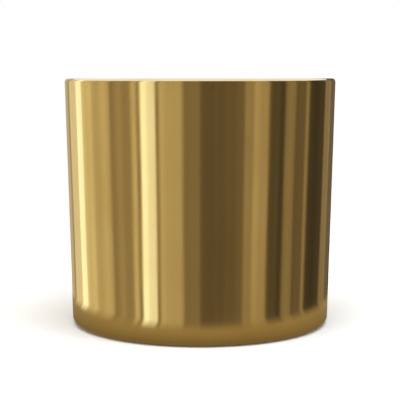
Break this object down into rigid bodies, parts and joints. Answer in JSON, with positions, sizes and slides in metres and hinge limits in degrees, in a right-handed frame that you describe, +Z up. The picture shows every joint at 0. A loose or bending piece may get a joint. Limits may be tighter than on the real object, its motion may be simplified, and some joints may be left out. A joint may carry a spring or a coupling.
{
  "type": "planter pot",
  "caption": "Round tapered metal planter with a rolled rim, felt pads under its base and a plastic liner that lifts out.",
  "frame": {"origin": "on the pot's axis, on the surface that the felt pads stand on", "axes": "+Z up along the pot's axis; the pot is round, so +X and +Y only fix where the four pads stand, halfway between them"},
  "size_m": [0.22, 0.22, 0.2],
  "materials": {
    "brass_sheet": "polished",
    "wire": "drawn",
    "felt": "matte",
    "liner_plastic": "satin"
  },
  "bodies": {
    "pot": {"pot_shell": "brass_sheet", "rim_wire": "wire", "felt_pad_1": "felt", "felt_pad_2": "felt", "felt_pad_3": "felt", "felt_pad_4": "felt"},
    "liner": {"liner": "liner_plastic"}
  },
  "joints": [
    {"name": "liner_lift", "type": "slide", "parent": "pot", "child": "liner", "axis": [0, 0, 1], "range_m": [0, 0.22]}
  ]
}
